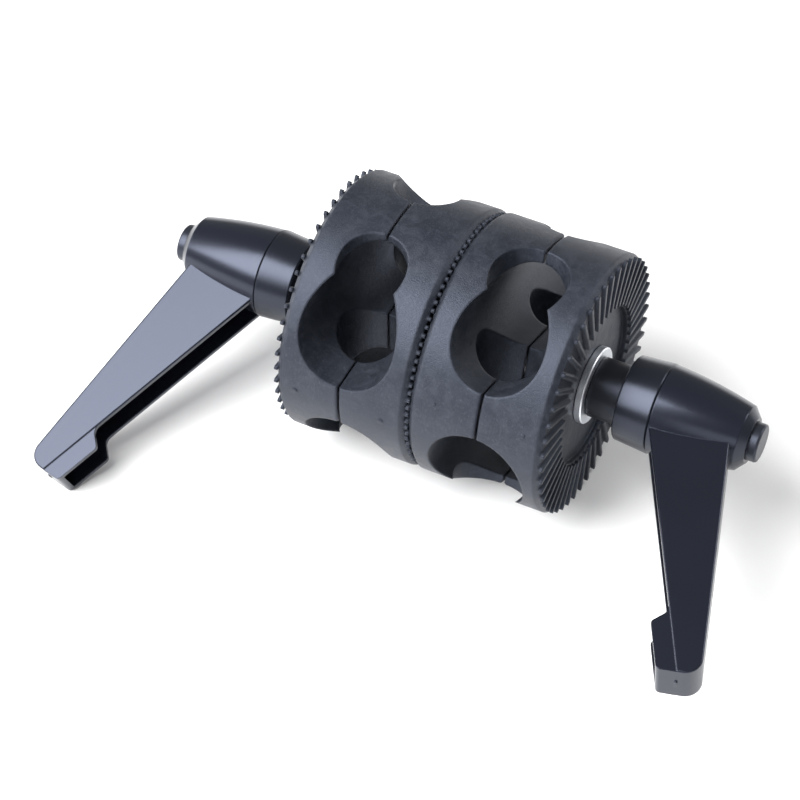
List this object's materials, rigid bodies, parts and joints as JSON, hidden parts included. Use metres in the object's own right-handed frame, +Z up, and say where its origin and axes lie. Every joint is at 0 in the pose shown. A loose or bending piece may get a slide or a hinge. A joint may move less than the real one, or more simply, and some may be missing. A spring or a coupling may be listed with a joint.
{
  "type": "swivel grip head",
  "caption": "Dual swivel grip head: coaxial split clamping discs with crossed rod channels, ribbed faces and an indexable lever with push button at each end.",
  "frame": {"origin": "bottom centre of the box of the head as it lies on its rims and a lever tip", "axes": "+X along the stud from the left to the right lever, +Z up, levers towards -Y"},
  "size_m": [0.2152, 0.1237, 0.08],
  "materials": {
    "jaw_nylon": "matte, fine grain, glass filled",
    "lever_nylon": "satin gloss",
    "hub_nylon": "satin gloss",
    "button_nylon": "satin",
    "sleeve_black": "matte black",
    "zinc_washer": "bright zinc plate",
    "bushing_bronze": "plain bearing bronze",
    "spring_steel": "drawn wire",
    "plated_steel": "zinc plated"
  },
  "bodies": {
    "left_disc": {"left_inner_jaw": "jaw_nylon", "clamp_stud": "plated_steel", "left_guide_dowels": "plated_steel", "left_jaw_springs": "spring_steel"},
    "bushing": {"centre_bushing": "bushing_bronze"},
    "right_disc": {"right_inner_jaw": "jaw_nylon", "right_guide_dowels": "plated_steel", "right_jaw_springs": "spring_steel"},
    "left_outer_disc": {"left_outer_jaw": "jaw_nylon", "left_washer": "zinc_washer", "left_spacer_sleeve": "sleeve_black"},
    "left_hub": {"left_lever_hub": "hub_nylon", "left_hub_insert": "plated_steel", "left_retaining_screw": "plated_steel"},
    "left_handle": {"left_lever": "lever_nylon", "left_spline_ring": "plated_steel", "left_lever_spring": "spring_steel"},
    "left_push_button": {"left_button": "button_nylon"},
    "right_outer_disc": {"right_outer_jaw": "jaw_nylon", "right_washer": "zinc_washer", "right_spacer_sleeve": "sleeve_black"},
    "right_hub": {"right_lever_hub": "hub_nylon", "right_hub_insert": "plated_steel", "right_retaining_screw": "plated_steel"},
    "right_handle": {"right_lever": "lever_nylon", "right_spline_ring": "plated_steel", "right_lever_spring": "spring_steel"},
    "right_push_button": {"right_button": "button_nylon"}
  },
  "joints": [
    {"name": "rosette_release", "type": "slide", "parent": "left_disc", "child": "bushing", "axis": [1, 0, 0], "range_m": [0, 0.002]},
    {"name": "disc_swivel", "type": "hinge", "parent": "bushing", "child": "right_disc", "pos_m": [0, 0.02197, 0.04], "axis": [1, 0, 0], "continuous": true},
    {"name": "left_jaw_open", "type": "slide", "parent": "left_disc", "child": "left_outer_disc", "axis": [-1, 0, 0], "range_m": [0, 0.0025], "deforming": ["left_jaw_springs"]},
    {"name": "left_lever_turn", "type": "hinge", "parent": "left_outer_disc", "child": "left_hub", "pos_m": [-0.0582, 0.02197, 0.04], "axis": [-1, 0, 0], "range_deg": [0, 720]},
    {"name": "left_lever_index", "type": "hinge", "parent": "left_hub", "child": "left_handle", "pos_m": [-0.0582, 0.02197, 0.04], "axis": [-1, 0, 0], "continuous": true},
    {"name": "left_button_press", "type": "slide", "parent": "left_handle", "child": "left_push_button", "axis": [1, 0, 0], "range_m": [0, 0.0024], "stiffness_N_per_m": 600, "springref_m": -0.002, "deforming": ["left_lever_spring"]},
    {"name": "right_jaw_open", "type": "slide", "parent": "right_disc", "child": "right_outer_disc", "axis": [1, 0, 0], "range_m": [0, 0.0025], "deforming": ["right_jaw_springs"]},
    {"name": "right_lever_turn", "type": "hinge", "parent": "right_outer_disc", "child": "right_hub", "pos_m": [0.0582, 0.02197, 0.04], "axis": [1, 0, 0], "range_deg": [0, 720]},
    {"name": "right_lever_index", "type": "hinge", "parent": "right_hub", "child": "right_handle", "pos_m": [0.0582, 0.02197, 0.04], "axis": [1, 0, 0], "continuous": true},
    {"name": "right_button_press", "type": "slide", "parent": "right_handle", "child": "right_push_button", "axis": [-1, 0, 0], "range_m": [0, 0.0024], "stiffness_N_per_m": 600, "springref_m": -0.002, "deforming": ["right_lever_spring"]}
  ],
  "couplings": [
    {"joint": "left_lever_turn", "follows": "left_jaw_open", "rad_per_m": 5026.5},
    {"joint": "right_lever_turn", "follows": "right_jaw_open", "rad_per_m": 5026.5}
  ]
}
